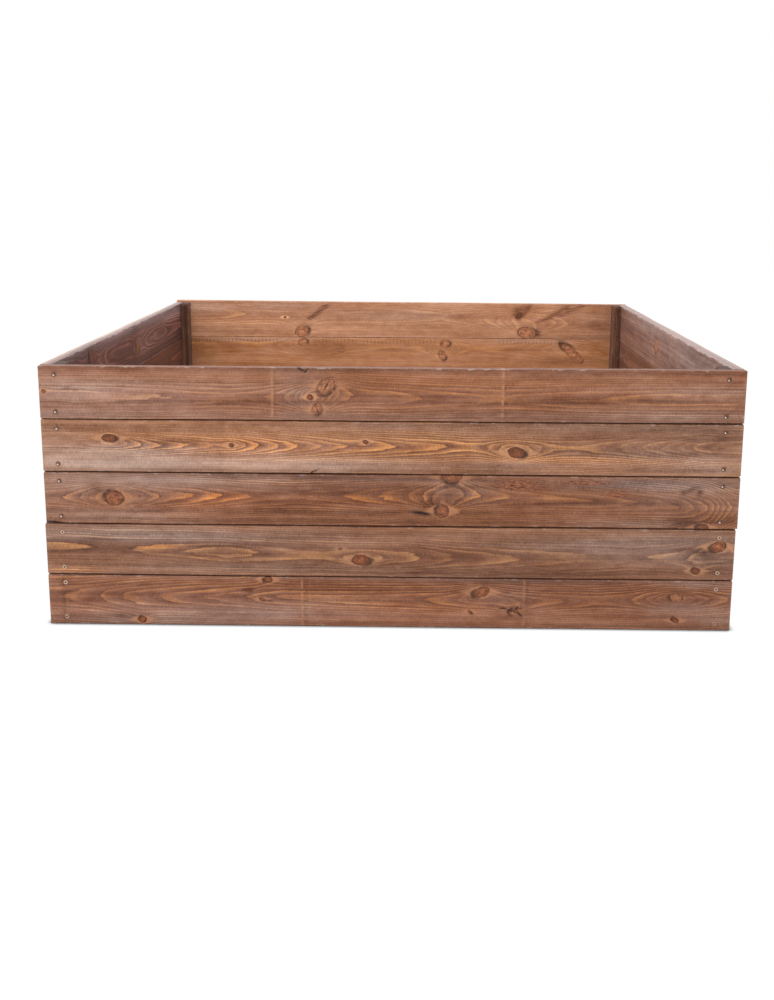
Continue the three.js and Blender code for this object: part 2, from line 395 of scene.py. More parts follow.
LEFT = {
    5: dict(
        tone=(0.103, 0.038, 0.034), outer=(0.23, 0.1, 0.06), contrast=1.8, ring=3.2, heart=(20, 0, -10),
        first=16, seen="inner", wane=3.0, pale_wood_and_sheen=0.34,
        tips=">-420 >-395 >-360 <-290 <-260 <-230 <-200 >-20 >-4 <80 <97 <115 <140 <170 >380",
        knots=[(-324, 22, 15, 12, 0, "smudge"), (53, -5, 18, 14, 0, "live"), (330, 12, 6, 5, 0, "pin")],
        cracks=[(-345, 22, 3, 14, 0), (33, -4, 2.5, 13, 0)],
        grey_and_sheen=[(-450, 34, 220, 14, 0.8), (120, 36, 300, 10, 0.8), (450, 34, 170, 16, 1.2),
              (60, 42, 500, 8, 1.0), (260, 0, 300, 60, 0.35)],
        warm=[(430, -4, 130, 34, 0.8)],
        dark=[(-480, -14, 140, 34, 1.0), (-90, -16, 120, 26, 0.8), (20, 4, 40, 34, 0.7),
              (200, -40, 400, 10, 0.8), (-330, 10, 30, 40, 0.9), (460, -34, 170, 17, 1.1)],
        light=[(120, 20, 200, 24, 0.8), (460, 10, 140, 40, 1.0), (450, 34, 170, 16, 1.6),
               (60, 42, 500, 8, 1.6), (260, 0, 160, 30, 0.5)],
    ),
    4: dict(
        tone=(0.096, 0.029, 0.017), outer=(0.27, 0.115, 0.066), contrast=1.2, ring=2.8, heart=(-6, 8, 4),
        first=12, seen="inner",
        tips=">-410 >-300 <-120 <-60 >100 >190 <420",
        knots=[(-180, 12, 9, 7, 0, "live"), (250, -10, 12, 9, 10, "live")],
        grey_and_sheen=[(-300, 20, 200, 16, 0.4)],
        warm=[(60, 30, 60, 12, 0.6)],
        dark=[(300, 0, 200, 30, 0.5)],
    ),
}

RIGHT = {
    5: dict(
        tone=(0.205, 0.1, 0.075), outer=(0.27, 0.118, 0.068), contrast=0.7, ring=2.8, heart=(-12, -8, 0),
        first=12, seen="inner", wane=4.5, pale_wood_and_sheen=0.5,
        tips=">-430 >-330 <-190 >-60 >20 <130 >360",
        knots=[(71, 2, 14, 16, 10, "pale"), (-260, -20, 9, 7, 0, "live"), (400, 20, 6, 5, 0, "pin")],
        grey_and_sheen=[(-330, 20, 260, 34, 1.1), (150, 34, 200, 14, 1.0), (100, 0, 400, 50, 0.2)],
        warm=[(90, -10, 40, 40, 0.5), (450, -10, 120, 40, 0.7)],
        dark=[(74, -4, 16, 40, 0.6), (480, -10, 140, 40, 0.5), (-420, 10, 200, 14, 0.4),
              (-60, -24, 90, 14, 0.4)],
        light=[(-180, 10, 120, 14, 0.7)],
    ),
    4: dict(
        tone=(0.135, 0.05, 0.028), outer=(0.3, 0.125, 0.07), contrast=0.9, ring=2.6, heart=(5, -8, 6),
        first=12, seen="inner",
        tips="<-400 <-250 >-90 >60 <210 >420",
        knots=[(-330, -14, 10, 8, 0, "live"), (150, 8, 8, 6, 0, "live"), (430, 24, 9, 7, 0, "dead")],
        grey_and_sheen=[(500, 20, 90, 20, 0.4)],
        warm=[(300, 10, 200, 20, 0.5)],
        dark=[(-100, -20, 200, 20, 0.4)],
    ),
}

# Each panel's way along, its way inwards and the boards that are described.
PANELS = {
    "front": ((1, 0, 0), (0, 1, 0), FRONT),
    "back": ((1, 0, 0), (0, -1, 0), BACK),
    "left": ((0, 1, 0), (1, 0, 0), LEFT),
    "right": ((0, 1, 0), (-1, 0, 0), RIGHT),
}

TONES = [(0.31, 0.130, 0.070), (0.377, 0.175, 0.094), (0.250, 0.100, 0.052), (0.255, 0.115, 0.068)]


def made_up_board(rng):
    """A board that nobody has looked at closely: the same kind of timber with its own knots and rings."""
    board = dict(tone=TONES[rng.integers(len(TONES))], knots=[], grey_and_sheen=[], warm=[], dark=[])
    kinds = ["live", "dead", "dead", "pin", "split"]
    whorl = rng.uniform(-480, -300)
    while whorl < 540:
        for _ in range(rng.integers(1, 4)):
            half = rng.uniform(4, 17)
            board["knots"].append((whorl + rng.uniform(-35, 35), rng.uniform(-38, 38), half,
                                   half * rng.uniform(0.55, 0.9), rng.uniform(-30, 30),
                                   kinds[rng.integers(len(kinds))]))
        whorl += rng.uniform(260, 420)
    turns = np.sort(rng.uniform(-560, 560, 9))
    board["tips"] = " ".join(f"{'<>'[rng.integers(2)]}{place:.0f}" for place in turns)
    for _ in range(9):
        kind = PATCH_KINDS[rng.integers(3)]
        board[kind].append((rng.uniform(-560, 560), rng.uniform(-40, 40), rng.uniform(60, 240),
                            rng.uniform(8, 30), rng.uniform(0.3, 0.7)))
    board["heart"] = tuple(rng.uniform(-15, 15, 3))
    board["ring"] = rng.uniform(2.0, 3.4)
    board["contrast"] = rng.uniform(0.4, 0.8)
    board["first"] = rng.integers(9, 15)
    return board


# ---- timber: growth, stain, relief and the places of painted light and shade

# Where along a board the slow changes of its growth are worked out, from beyond one end to beyond the other.
SPACING = 4.0
STATIONS = np.arange(-640, 641, SPACING)


def rounded(values, length):
    """A running mean over `length` of values at the stations."""
    reach = int(length / SPACING / 2)
    window = np.hanning(2 * reach + 3)[1:-1]
    padded = np.pad(values, reach, mode="edge")
    return np.convolve(padded, window / window.sum(), mode="valid")


def heart_depth(board, s):
    """How far behind the seen face the heart of the log lies, in millimetres, at each place s.

    It crosses a whole number of rings at each tip: upwards at ">" and downwards at "<".
    """
    tips = [(1.0 if mark[0] == ">" else -1.0, float(mark[1:])) for mark in board["tips"].split()]
    run_out, end_rise = 150, 0.6
    ring = float(board["first"])
    places, rings = [], []
    for number, (way, place) in enumerate(tips):
        if number:
            way_before, place_before = tips[number - 1]
            if way == way_before:
                ring += way
            else:
                bulge = min(0.75, 0.25 + (place - place_before) / 300)
                places.append((place + place_before) / 2)
                rings.append(ring + way_before * bulge)
        places.append(place)
        rings.append(ring)
    places = [places[0] - run_out, *places, places[-1] + run_out]
    rings = [rings[0] - end_rise * tips[0][0], *rings, rings[-1] + end_rise * tips[-1][0]]
    return np.interp(s, STATIONS, rounded(np.interp(STATIONS, places, rings), 40)) * board["ring"]


def heart_height(board, s):
    heights = board["heart"]
    straight = np.interp(STATIONS, np.linspace(-HALF_LENGTH, HALF_LENGTH, len(heights)), heights)
    return np.interp(s, STATIONS, rounded(straight, 240))


def ellipse(s, h, x, y, a, b, tilt=0.0):
    """Distance from the middle of a tilted ellipse of half axes a and b, 1 at its edge."""
    turn = math.radians(tilt)
    u = ((s - x) * math.cos(turn) + (h - y) * math.sin(turn)) / a
    v = (-(s - x) * math.sin(turn) + (h - y) * math.cos(turn)) / b
    return np.sqrt(u * u + v * v)


def bell(s, h, *shape):
    """1 in the middle of an ellipse, about 0.37 at its edge and 0 far away."""
    return np.exp(-ellipse(s, h, *shape) ** 2)


def slit(s, h, x, y, a, b, tilt):
    """Distance from the crack across a split knot."""
    return ellipse(s, h, x, y, a * 0.09, b * 0.72, -0.8 * tilt)


def lattice_noise(rng, s, h, wave_along, wave_across):
    """Smooth noise from -1 to 1 with features of the given lengths, within reach of the middle."""
    reach_along, reach_across = 700, 100
    x = (s + reach_along) / wave_along
    y = (h + reach_across) / wave_across
    shape = int(2 * reach_along / wave_along) + 3, int(2 * reach_across / wave_across) + 3
    table = rng.uniform(-1, 1, shape)
    i = np.floor(x).astype(int)
    j = np.floor(y).astype(int)
    a = x - i
    b = y - j
    a = a * a * (3 - 2 * a)
    b = b * b * (3 - 2 * b)
    low = table[i, j] * (1 - a) + table[i + 1, j] * a
    high = table[i, j + 1] * (1 - a) + table[i + 1, j + 1] * a
    return low * (1 - b) + high * b


def relief(board, s, h):
    """How far knots and cracks push the face out, in millimetres."""
    out = np.zeros_like(s)
    for *shape, kind in (knot[:6] for knot in board["knots"]):
        rho = ellipse(s, h, *shape)
        out += (0.35 if kind in ("live", "dead", "deep") else 0.15) * np.exp(-rho ** 4)
        if kind in ("dead", "deep", "split"):
            out -= 0.45 * np.exp(-((rho - 1.02) / 0.14) ** 2)
        if kind == "split":
            out -= 1.3 * np.clip(1.25 - slit(s, h, *shape), 0, 1)
    for crack in board["cracks"]:
        out -= 1.6 * np.clip(1.3 - ellipse(s, h, *crack), 0, 1)
    return out


# How dead each kind of knot is, and how bright the collar round it is.
DEADNESS = {"pale": 0.1, "live": 0.78, "dead": 1.0, "deep": 1.3, "split": 0.15, "pin": 0.8, "smudge": 1.6}
COLLAR = {"pale": 0.2, "live": 0.9, "dead": 1.0, "deep": 1.0, "split": 0.4, "pin": 0.8, "smudge": 0.0}
TICK_HEIGHT = 36.0
TICK_PITCH = 10.0


def tick_places(board):
    """Where the feed rollers have left a row of short dark ticks."""
    return [place for low, high in board["ticks"] for place in np.arange(low, high, TICK_PITCH)]


def knot_fields(board, s, h, e):
    """The nearest knot's distance, size and deadness, then its collar and painted shadow, and how knots bend
    rings.
    """
    rho = np.full_like(s, 9.0)
    size = np.full_like(s, 8.0)
    dead, collar, painted_knot_shadow, bend = (np.zeros_like(s) for _ in range(4))
    for x, y, a, b, tilt, kind, *dark_side in board["knots"]:
        near = ellipse(s, h, x, y, a, b, tilt) / (1.0 - 0.006 * e)
        closer = near < rho
        rho = np.where(closer, near, rho)
        size = np.where(closer, math.sqrt(a * b), size)
        dead = np.where(closer, DEADNESS[kind], dead)
        wide = ellipse(s, h, x, y, a * 1.7 + 3, b * 1.35 + 1, tilt * 0.4)
        bend += 1.6 * b * min(1.0, b / 6) * np.exp(-wide)
        pointed = np.abs(s - x) / (2.4 * a + 9) + (np.abs(h - y) / (1.34 * b + 1.2)) ** 1.4
        collar = np.maximum(collar, np.clip(1 - pointed, 0, 1) * COLLAR[kind])
        facing = math.radians(dark_side[0] if dark_side else -40)
        toward = ((s - x) * math.cos(facing) / a + (h - y) * math.sin(facing) / b) / np.maximum(near, 0.1)
        # Painted shadow in a crescent on the knot's dark side.
        crescent = np.exp(-((near - 1.12) / (0.16 + 0.7 / b)) ** 2) * np.clip(1.6 * toward - 0.5, 0, 1)
        painted_knot_shadow = np.maximum(painted_knot_shadow, crescent * min(1.0, b / 5) * (0.7 if kind == "pale" else 0.85))
    return rho, size, dead, collar, painted_knot_shadow, bend


def crack_field(board, s, h):
    """1 in cracks, across split knots and, more faintly, in the ticks of the feed rollers. The shader darkens
    it: painted shade in the cracks and the split knots, and dark marks in the ticks.
    """
    crack = np.zeros_like(s)
    for shape in board["cracks"]:
        crack = np.maximum(crack, np.clip(1.6 - ellipse(s, h, *shape), 0, 1))
    for *shape, kind in (knot[:6] for knot in board["knots"]):
        if kind == "split":
            crack = np.maximum(crack, 0.75 * np.clip(1.5 - slit(s, h, *shape), 0, 1))
    for x in tick_places(board):
        crack = np.maximum(crack, 0.42 * bell(s, h, x, TICK_HEIGHT, 1.6, 4.5))
    return crack


def patch_field(board, kind, s, h):
    """How strong the soft patches of one kind are."""
    total = np.zeros_like(s)
    for x, y, a, b, strength, *tilt in board[kind]:
        total += strength * bell(s, h, x, y, a, b, *tilt)
    return total


def mark_field(board, s):
    """Pale lines of stacking sticks, each with a dark one beside it, and the other way round below 0."""
    mark = np.zeros_like(s)
    for x, width, strength in board["marks"]:
        pale = np.exp(-((s - x) / width) ** 2)
        mark += strength * (pale - 0.6 * np.exp(-((s - x - 2.2 * width) / width) ** 2))
    return mark


# ---- meshes

HEAD_RADIUS = 4.0
SINK_RADIUS = 4.7
SINK_DEPTH = 3.0
ARRIS = 1.3
# How far below each face its relief has faded away.
FACE_DEPTH = 2.5
# The boards meet behind their seams: each long edge stands this far out between the two faces.
TONGUE = 1.15
TONGUE_START = 3.0
# A board's mesh has stations along it, rows up it and layers through it, closer together at its flaws.
STATION_STEP = 8.0
FLAW_STEP = 1.3
ROW_STEP = 2.2
SINK_STEP = 1.0
SINK_STATIONS_REACH = 6.5
SINK_ROWS_REACH = 5.5
LAYERS = 7


def steps(low, high, step, fine_places, fine_step):
    """Places from low to high, `step` apart, and `fine_step` apart within reach of the fine places."""
    places = [np.linspace(low, high, int((high - low) / step) + 1)]
    for place, reach in fine_places:
        count = int(2 * reach / fine_step) + 1
        places.append(np.linspace(place - reach, place + reach, count))
    merged = np.unique(np.round(np.concatenate(places), 3))
    merged = merged[(merged >= low) & (merged <= high)]
    kept = [merged[0]]
    for place in merged[1:]:
        if place - kept[-1] >= fine_step * 0.6:
            kept.append(place)
    kept[-1] = high
    return np.array(kept)


def flaw_places(board, screws):
    """Where along a board its mesh is finer, and how far to each side."""
    knots = [(knot[0], 1.7 * knot[2] + 3) for knot in board["knots"]]
    cracks = [(crack[0], crack[2] + 3) for crack in board["cracks"]]
    marks = [(x + 1.5 * width, 6) for x, width, _ in board["marks"]]
    ticks = [(x, 2.6) for x in tick_places(board)]
    return knots + cracks + marks + ticks + [(x, SINK_STATIONS_REACH) for x, _ in screws]


def from_edges(values, radius):
    """Adds the grid lines that round off both ends of a side."""
    low, high = values[0], values[-1]
    inside = values[(values > low + 1.6 * radius) & (values < high - 1.6 * radius)]
    near = np.array([0.0, 0.59, 1.0]) * radius
    return np.concatenate([low + near, inside, high - near[::-1]])


def block(sides, radius):
    """Points and quads of a closed box with rounded edges, gridded at the given places on each side."""
    sides = [from_edges(values, radius) for values in sides]
    shape = tuple(len(side) for side in sides)
    places = np.indices(shape)
    skin = np.any([(place == 0) | (place == count - 1) for place, count in zip(places, shape)], axis=0)
    number = np.full(shape, -1)
    number[skin] = np.arange(skin.sum())
    points = np.stack([side[place[skin]] for side, place in zip(sides, places)], axis=1)
    low = np.array([side[0] for side in sides]) + radius
    high = np.array([side[-1] for side in sides]) - radius
    core = np.clip(points, low, high)
    out = points - core
    points = core + out / np.linalg.norm(out, axis=1, keepdims=True) * radius
    quads = []
    for axis in range(3):
        for end in (0, -1):
            sheet = np.take(number, end, axis=axis)
            around = [sheet[:-1, :-1], sheet[1:, :-1], sheet[1:, 1:], sheet[:-1, 1:]]
            if (end == 0) != (axis == 1):
                around.reverse()
            quads.append(np.stack(around, axis=-1).reshape(-1, 4))
    return points, np.concatenate(quads)


def make_mesh(name, points, quads):
    mesh = bpy.data.meshes.new(name)
    mesh.vertices.add(len(points))
    mesh.vertices.foreach_set("co", np.asarray(points * MM, np.float32).ravel())
    mesh.loops.add(quads.size)
    mesh.loops.foreach_set("vertex_index", quads.astype(np.int32).ravel())
    mesh.polygons.add(len(quads))
    mesh.polygons.foreach_set("loop_start", np.arange(0, quads.size, 4, dtype=np.int32))
    mesh.polygons.foreach_set("loop_total", np.full(len(quads), 4, np.int32))
    mesh.update(calc_edges=True)
    mesh.validate()
    mesh.polygons.foreach_set("use_smooth", np.full(len(quads), True))
    return mesh


def store(mesh, name, *columns):
    """Keeps three numbers for each vertex, for the node trees to read."""
    kept = mesh.attributes.new(name, "FLOAT_VECTOR", "POINT")
    kept.data.foreach_set("vector", np.stack(columns, axis=1).astype(np.float32).ravel())


def add_piece(name, mesh, material, nodes):
    piece = bpy.data.objects.new(name, mesh)
    bpy.context.scene.collection.objects.link(piece)
    mesh.materials.append(material)
    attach(piece, "root")
    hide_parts(*nodes)


def broken_edge(board, rng, s, h, e, top, thick):
    """How much the inner upper arris of a waney board has lost, in millimetres."""
    ragged = 0.55 + sum(0.3 * lattice_noise(rng, s, s * 0, wave, 50) for wave in (26, 7))
    return np.clip(board["wane"] * ragged - (top - h) - 0.8 * (thick - e), 0, None)


def near_screws(s, h, screws):
    """1 in a ring round each screw head, where painted shade lies in the gap."""
    ring = np.zeros_like(s)
    for x, y in screws:
        gap = np.abs(np.hypot(s - x, h - y) - HEAD_RADIUS - 0.1)
        ring = np.maximum(ring, np.clip(1.4 - gap / 0.7, 0, 1))
    return ring


def edge_wear(place, low, high):
    """1 along the arrises of a piece and falling away within a few millimetres."""
    gaps = np.sort([np.minimum(value - a, b - value) for value, a, b in zip(place, low, high)], axis=0)
    return np.exp(-np.hypot(gaps[0], gaps[1]) / 1.6)


def add_timber(node, along, up, inward, board, material, rng, screws=(), seams=()):
    """Builds a piece of timber over the box of its CAD node, with its relief and what the shader reads.

    Seams are the sides, -1 below and 1 above, on which another board follows.
    """
    low, high = corners(node)
    centre = (low + high) / 2
    axes = np.array([along, up, inward], float)
    half = np.abs(axes @ (high - low)) / 2
    thick = 2 * half[2]
    start = 0.0 if along[2] else (axes @ centre)[0]
    lowest = np.array((start - half[0], -half[1], 0.0))
    highest = np.array((start + half[0], half[1], thick))
    stations = steps(lowest[0], highest[0], STATION_STEP, flaw_places(board, screws), FLAW_STEP)
    sunk_rows = [(y, SINK_ROWS_REACH) for _, y in screws]
    rows = steps(lowest[1], highest[1], ROW_STEP, sunk_rows, SINK_STEP)
    points, quads = block((stations, rows, np.linspace(0, thick, LAYERS)), ARRIS)
    s, h, e = points.T
    depth = e if board["seen"] == "outer" else thick - e

    # Where each vertex goes: relief, a slight wander, the tongue behind each seam and the broken arris.
    raised = relief(board, s, h)
    sinks = sum(np.clip(SINK_RADIUS - np.hypot(s - x, h - y), 0, SINK_DEPTH) for x, y in screws)
    outer = np.clip(1 - e / FACE_DEPTH, 0, 1)
    inner = np.clip(1 - (thick - e) / FACE_DEPTH, 0, 1)
    wander = lattice_noise(rng, s, h, 210, 70)
    top, bottom = (lattice_noise(rng, s, s * 0, 95, 50) for _ in range(2))
    level = (h / half[1] + 1) / 2
    new_e = e - outer * (raised - sinks) + inner * raised * 0.7 + 0.3 * wander
    new_h = h * (1 + board["swell"]) + 0.32 * (level * top + (1 - level) * bottom)
    behind = np.clip((np.minimum(e, thick - e) - TONGUE_START) / 2, 0, 1)
    crack = crack_field(board, s, h)
    for side in seams:
        beyond = side * h - half[1]
        new_h += side * np.clip(beyond + 1.5, 0, 1) * behind * (TONGUE - board["swell"] * half[1])
        # Painted shade along the edges of each seam, where the boards meet.
        crack = np.maximum(crack, 0.2 * np.clip(beyond + 0.9, 0, 1))
    # Painted sheen on the upper face, and on the broken arris pale fresh wood with painted sheen.
    pale_wood_and_sheen = board["pale_wood_and_sheen"] * (h > half[1] - 0.8)
    if board["wane"]:
        lost = broken_edge(board, rng, s, h, e, half[1], thick)
        new_h -= 0.6 * lost
        new_e -= 0.6 * lost
        pale_wood_and_sheen = np.maximum(pale_wood_and_sheen, board["pale_wood_and_sheen"] * np.clip(lost - 0.4, 0, 1))
    new_h += board["lift"] * level * (highest[0] - s) / (2 * half[0])
    world = centre + np.stack([s - start, new_h, new_e - thick / 2], axis=1) @ axes
    world[:, 2] = np.maximum(world[:, 2], 0.0)  # nothing dips below the ground
    mesh = make_mesh(f"{node}_timber", world, quads if np.linalg.det(axes) > 0 else quads[:, ::-1])

    # What the shader reads: growth, knots, stain and wear.
    rho, size, dead, collar, painted_knot_shadow, bend = knot_fields(board, s, h, depth)
    rings = np.hypot(h - heart_height(board, s), heart_depth(board, s) - depth) - bend
    # The grey patches are partly grey stain and partly painted sheen.
    grey_and_sheen, warm, dark, light, plain = (patch_field(board, kind, s, h) for kind in PATCH_KINDS)
    torn = sum((1.5 * bell(s, h, *place) for place in board["torn"]), np.zeros_like(s))
    # Painted shade in the gap round each screw head.
    crack = np.maximum(crack, 0.3 * near_screws(s, h, screws) * outer)
    sawn = np.clip(1 - (half[0] - np.abs(s - start)) / 0.8, 0, 1)
    store(mesh, "timber", s, h, depth)
    store(mesh, "growth", rings, rho, size)
    store(mesh, "stain", grey_and_sheen, warm, dark + board["rim"] * (h > half[1] - 0.5))
    store(mesh, "flaw", dead, crack, sawn)
    store(mesh, "finish", plain, mark_field(board, s), edge_wear(points.T, lowest, highest))
    store(mesh, "scars", torn, pale_wood_and_sheen, np.zeros_like(s))
    store(mesh, "knot", collar, painted_knot_shadow, light)
    add_piece(f"{node}_timber", mesh, material, [node])


# ---- the finish of the timber, with its painted light and shade

def growth_lines(tree, grain, board, seed, flat):
    """The late wood of each year, its sharp edge and the thin lines between, and where they show well."""
    ring, contrast = board["ring"], board["contrast"]
    rings, rho, _ = stored(tree, "growth")
    _, warm, _ = stored(tree, "stain")
    near_knot = rho.step(3.0, 1.0)
    distance = rings + (grain(130, 14, 1) * (0.9 * ring) + grain(24, 5, 2) * (near_knot * 1.4 + 1.0))
    uneven = noise(tree, vector(tree, distance / 7.0 + seed), 1) - 0.5
    years = distance / ring + uneven * 0.9
    season = years.fract()
    draw = tree.nodes.new("ShaderNodeTexWhiteNoise")
    draw.noise_dimensions = "1D"
    plug(years.math("FLOOR") + seed * 3.7, draw.inputs["W"])
    luck = Term(draw.outputs["Value"])
    clear = grain(190, 20, 4).step(-0.20, 0.16)
    strength = (luck * 0.9 + 0.35) * (clear * 0.7 + 0.3 + warm * 0.7) * (1.0 - flat * 0.85) * contrast
    rise = season.step(0.05, 0.80)
    late = rise * rise * 0.7 + season.step(0.55, 0.82) * 0.45 + season.step(0.25, 0.55) * warm * 0.35
    late = late * season.step(0.98, 0.90) * strength
    edge = (season.step(0.88, 0.96) + season.step(0.30, 0.0) * 0.55) * strength
    thin = (distance / (0.31 * ring) + uneven * 2.0 + 0.3).fract()
    thin = thin.step(0.3, 0.7) * thin.step(1.0, 0.85) * (1.0 - clear * 0.6 + near_knot)
    return late, edge, thin * (1.0 - flat * 0.7) * contrast, clear


def as_stained(board, *colour):
    """A colour of bare wood, as dark as the board's stain makes it."""
    stain = min(1.0, 0.35 + 2.6 * board["tone"][0])
    return times(colour, stain, stain, stain)


def add_knots(tree, coats, grain, board, clear, gold):
    """Lays on the knots, each with its rings, dark rim, crescent of painted shadow and bright pointed collar.

    It gives back how high they stand for the bump.
    """
    _, rho, size = stored(tree, "growth")
    dead, _, _ = stored(tree, "flaw")
    collar, painted_knot_shadow, _ = stored(tree, "knot")
    reach = rho + grain(7, 5, 13) * 0.34
    inside = reach.step(1.03, 0.95)
    turns = (reach * 3.0 + size * 0.37 + grain(5, 5, 14) * 1.3).fract()
    rings = turns.step(0.1, 0.55) * turns.step(1.0, 0.75)
    kind = dead.least(1.0)
    low = mix(tree, kind, as_stained(board, 0.235, 0.096, 0.048), as_stained(board, 0.138, 0.040, 0.015))
    high = mix(tree, kind, as_stained(board, 0.51, 0.215, 0.107), as_stained(board, 0.31, 0.101, 0.039))
    knot = mix(tree, rings * 0.55 + reach.step(0.9, 0.2) * 0.45, low, high)
    shade = grain(5, 1.6, 15, 2) + grain(9, 7, 16) * 1.6 + reach.step(0.3, 0.0) * 0.2 + 0.95
    knot = mix(tree, (dead - 1.0).most(0.0), brighten(tree, knot, shade), (0.075, 0.028, 0.016))
    coats.cover((collar + grain(22, 3, 21) * 0.45).step(0.02, 0.34) * (clear * 0.4 + 0.6) * 0.70, gold)
    coats.cover(inside, knot)
    rim = reach.step(0.90, 0.99) * reach.step(1.10, 1.01)
    rim = rim * (kind * 0.25 + 0.50 + grain(14, 9, 22) * 2.4).most(0.15).least(1.0)
    coats.cover(rim, (0.060, 0.022, 0.014))
    # Painted shadow in a crescent beside each knot.
    coats.cover((painted_knot_shadow * 1.1 + painted_knot_shadow * grain(8, 4, 25) * 2.0).share(), (0.058, 0.023, 0.014))
    return inside * rings * 0.12 - rim * 0.16


def add_wear_shade_and_sheen(tree, coats, grain, board, lit):
    """Lays on the lines of stacking sticks, torn grain, arrises worn by rubbing and chipped, sawn ends,
    painted sheen on the upper faces, and near-black painted shade in cracks, seams and the gaps round the
    screw heads, with the dark roller ticks.

    It gives back how rough and how high they are.
    """
    _, crack, end = stored(tree, "flaw")
    _, mark, worn = stored(tree, "finish")
    torn, pale_wood_and_sheen, _ = stored(tree, "scars")
    broken = mark * grain(50, 9, 17, 3).step(-0.16, 0.08)
    coats.cover(broken.share() * 0.55, lit)
    coats.tint((broken * -1.0).share() * 0.6, (0.5, 0.42, 0.40))
    fluff = grain(9, 2.0, 18, 3, 0.75).step(-0.06, 0.06)
    coats.cover(torn.least(1.0) * (1.0 - fluff) * 0.85, (0.085, 0.026, 0.015))
    coats.cover(torn.least(1.0) * fluff * 0.75, (0.42, 0.150, 0.072))
    rub_and_glint = grain(40, 6, 19, 3, 0.65).step(-0.2, 0.2) * 0.75 + 0.2
    coats.cover(worn.least(1.0) * rub_and_glint * 0.45, tuple(0.05 + 1.3 * part for part in board["tone"]))
    chips = grain(16, 6, 26, 2).step(0.09, 0.17)
    coats.cover(worn.least(1.0) * chips * 0.65, as_stained(board, 0.56, 0.47, 0.44))
    sawn = grain(3, 1.1, 20, 3, 0.7)
    coats.tint(end * (sawn * 0.8 + 0.6), (0.44, 0.36, 0.33))
    # Painted sheen on the upper faces of the top side boards, and pale fresh wood with painted sheen on the
    # broken arris.
    coats.cover(pale_wood_and_sheen * (sawn * 1.5 + 0.7).most(0.0), (0.46, 0.385, 0.40))
    # Near-black painted shade in cracks, split knots, seams and the gaps round the screw heads, and the dark
    # roller ticks.
    coats.cover(crack.least(1.0), (0.016, 0.008, 0.006))
    rough = end * 0.2 + torn.least(1.0) * 0.2 + crack.least(1.0) * 0.2
    return rough, torn.least(1.0) * fluff * 0.5 + sawn * end * 0.5 - mark * 0.05


